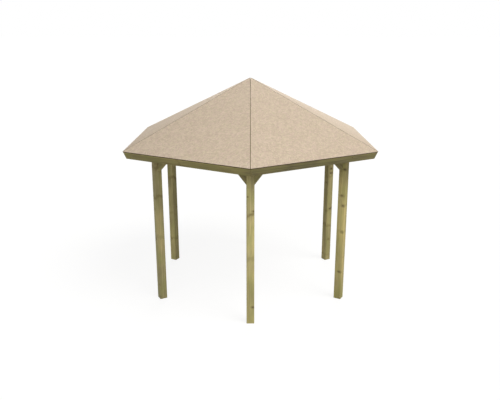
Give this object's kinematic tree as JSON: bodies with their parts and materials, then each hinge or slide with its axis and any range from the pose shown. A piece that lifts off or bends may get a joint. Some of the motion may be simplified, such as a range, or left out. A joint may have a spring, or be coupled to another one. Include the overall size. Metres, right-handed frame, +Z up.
{
  "type": "garden gazebo",
  "caption": "Hexagonal open timber garden gazebo: square posts, top rails and knee braces carry a pitched roof of flat triangular panels with mitred eave boards.",
  "frame": {"origin": "on the ground under the middle of the roof", "axes": "+Z up, -Y towards the front post, +X to the right; the roof is longest corner to corner along Y"},
  "size_m": [3.1178, 3.5966, 2.8618],
  "materials": {
    "treated_timber": "planed, pressure treated, greenish tan",
    "roof_board": "matt beige sheet with fine speckle"
  },
  "bodies": {
    "root": {"post_front": "treated_timber", "post_front_right": "treated_timber", "post_back_right": "treated_timber", "post_back": "treated_timber", "post_back_left": "treated_timber", "post_front_left": "treated_timber", "rail_front_right": "treated_timber", "rail_right": "treated_timber", "rail_back_right": "treated_timber", "rail_back_left": "treated_timber", "rail_left": "treated_timber", "rail_front_left": "treated_timber", "braces_front_right": "treated_timber", "braces_right": "treated_timber", "braces_back_right": "treated_timber", "braces_back_left": "treated_timber", "braces_left": "treated_timber", "braces_front_left": "treated_timber", "hip_rafters_front": "treated_timber", "hip_rafters_front_right": "treated_timber", "hip_rafters_back_right": "treated_timber", "hip_rafters_back": "treated_timber", "hip_rafters_back_left": "treated_timber", "hip_rafters_front_left": "treated_timber", "mid_rafter_front_right": "treated_timber", "mid_rafter_right": "treated_timber", "mid_rafter_back_right": "treated_timber", "mid_rafter_back_left": "treated_timber", "mid_rafter_left": "treated_timber", "mid_rafter_front_left": "treated_timber", "eave_board_front_right": "treated_timber", "eave_board_right": "treated_timber", "eave_board_back_right": "treated_timber", "eave_board_back_left": "treated_timber", "eave_board_left": "treated_timber", "eave_board_front_left": "treated_timber", "roof_board_front_right": "roof_board", "roof_board_right": "roof_board", "roof_board_back_right": "roof_board", "roof_board_back_left": "roof_board", "roof_board_left": "roof_board", "roof_board_front_left": "roof_board"}
  },
  "joints": []
}
